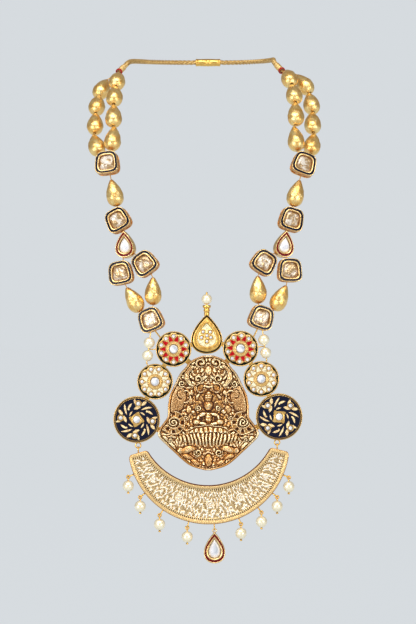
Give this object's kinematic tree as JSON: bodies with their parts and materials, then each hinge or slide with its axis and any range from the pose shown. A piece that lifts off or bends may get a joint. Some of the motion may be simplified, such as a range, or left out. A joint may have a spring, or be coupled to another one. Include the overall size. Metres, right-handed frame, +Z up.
{
  "type": "layered temple necklace",
  "caption": "Layered necklace in its worn shape: strands of gold drop beads and polki settings, enamelled discs round a cast temple plate, hinged crescent with pearls and a drop.",
  "frame": {"origin": "nape of the neck, on the inner side of the clasp", "axes": "+Z up the wearer's neck, the front of the pendant faces -Y, +X to the right of the picture"},
  "size_m": [0.1322, 0.1252, 0.2923],
  "materials": {
    "brushed_gold": "brushed gold plate",
    "plain_gold": "polished gold plate",
    "enamelled_gold": "gold plate with fired enamel",
    "antique_gold": "antique gold plate, dark in the recesses",
    "crescent_gold": "pale gold plate over a chased ground",
    "polki_stone": "cut stone on foil",
    "pearl": "nacre",
    "bead_thread": "twisted thread",
    "gold_cord": "twisted metallic cord",
    "red_thread": "wound thread"
  },
  "bodies": {
    "root": {"clasp": "plain_gold", "back_cord_left": "gold_cord", "back_cord_right": "gold_cord", "cord_whips": "gold_cord", "red_bindings": "red_thread", "left_threads": "bead_thread", "right_threads": "bead_thread", "left_outer_beads": "brushed_gold", "left_inner_beads": "brushed_gold", "right_outer_beads": "brushed_gold", "right_inner_beads": "brushed_gold", "left_link_bead": "brushed_gold", "left_fork_outer_bead": "brushed_gold", "left_fork_inner_bead": "brushed_gold", "right_link_bead": "brushed_gold", "right_fork_outer_bead": "brushed_gold", "right_fork_inner_bead": "brushed_gold", "left_square_1": "enamelled_gold", "left_square_2": "enamelled_gold", "left_square_3": "enamelled_gold", "left_square_4": "enamelled_gold", "left_square_5": "enamelled_gold", "right_square_1": "enamelled_gold", "right_square_2": "enamelled_gold", "right_square_3": "enamelled_gold", "right_square_4": "enamelled_gold", "right_square_5": "enamelled_gold", "left_square_stones": "polki_stone", "right_square_stones": "polki_stone", "left_tear_setting": "enamelled_gold", "right_tear_setting": "enamelled_gold", "tear_stones": "polki_stone", "pendant_frame": "enamelled_gold", "red_disc_stones": "polki_stone", "cream_disc_stones": "polki_stone", "blue_disc_stones": "polki_stone", "top_drop_stones": "polki_stone", "finial_pearl": "pearl", "left_side_pearls": "pearl", "right_side_pearls": "pearl", "temple_plate": "antique_gold"},
    "crescent": {"crescent": "crescent_gold", "crescent_pearls": "pearl", "crescent_pins": "plain_gold"},
    "drop": {"drop_setting": "enamelled_gold", "drop_stone": "polki_stone"}
  },
  "joints": [
    {"name": "crescent_swing", "type": "hinge", "parent": "root", "child": "crescent", "pos_m": [-0.0002, -0.117, -0.22595], "axis": [0.9998, 0, 0.0222], "range_deg": [-75, 75]},
    {"name": "drop_swing", "type": "hinge", "parent": "crescent", "child": "drop", "pos_m": [0.0036, -0.117, -0.27188], "axis": [0, 1, 0], "range_deg": [-35, 35]}
  ]
}
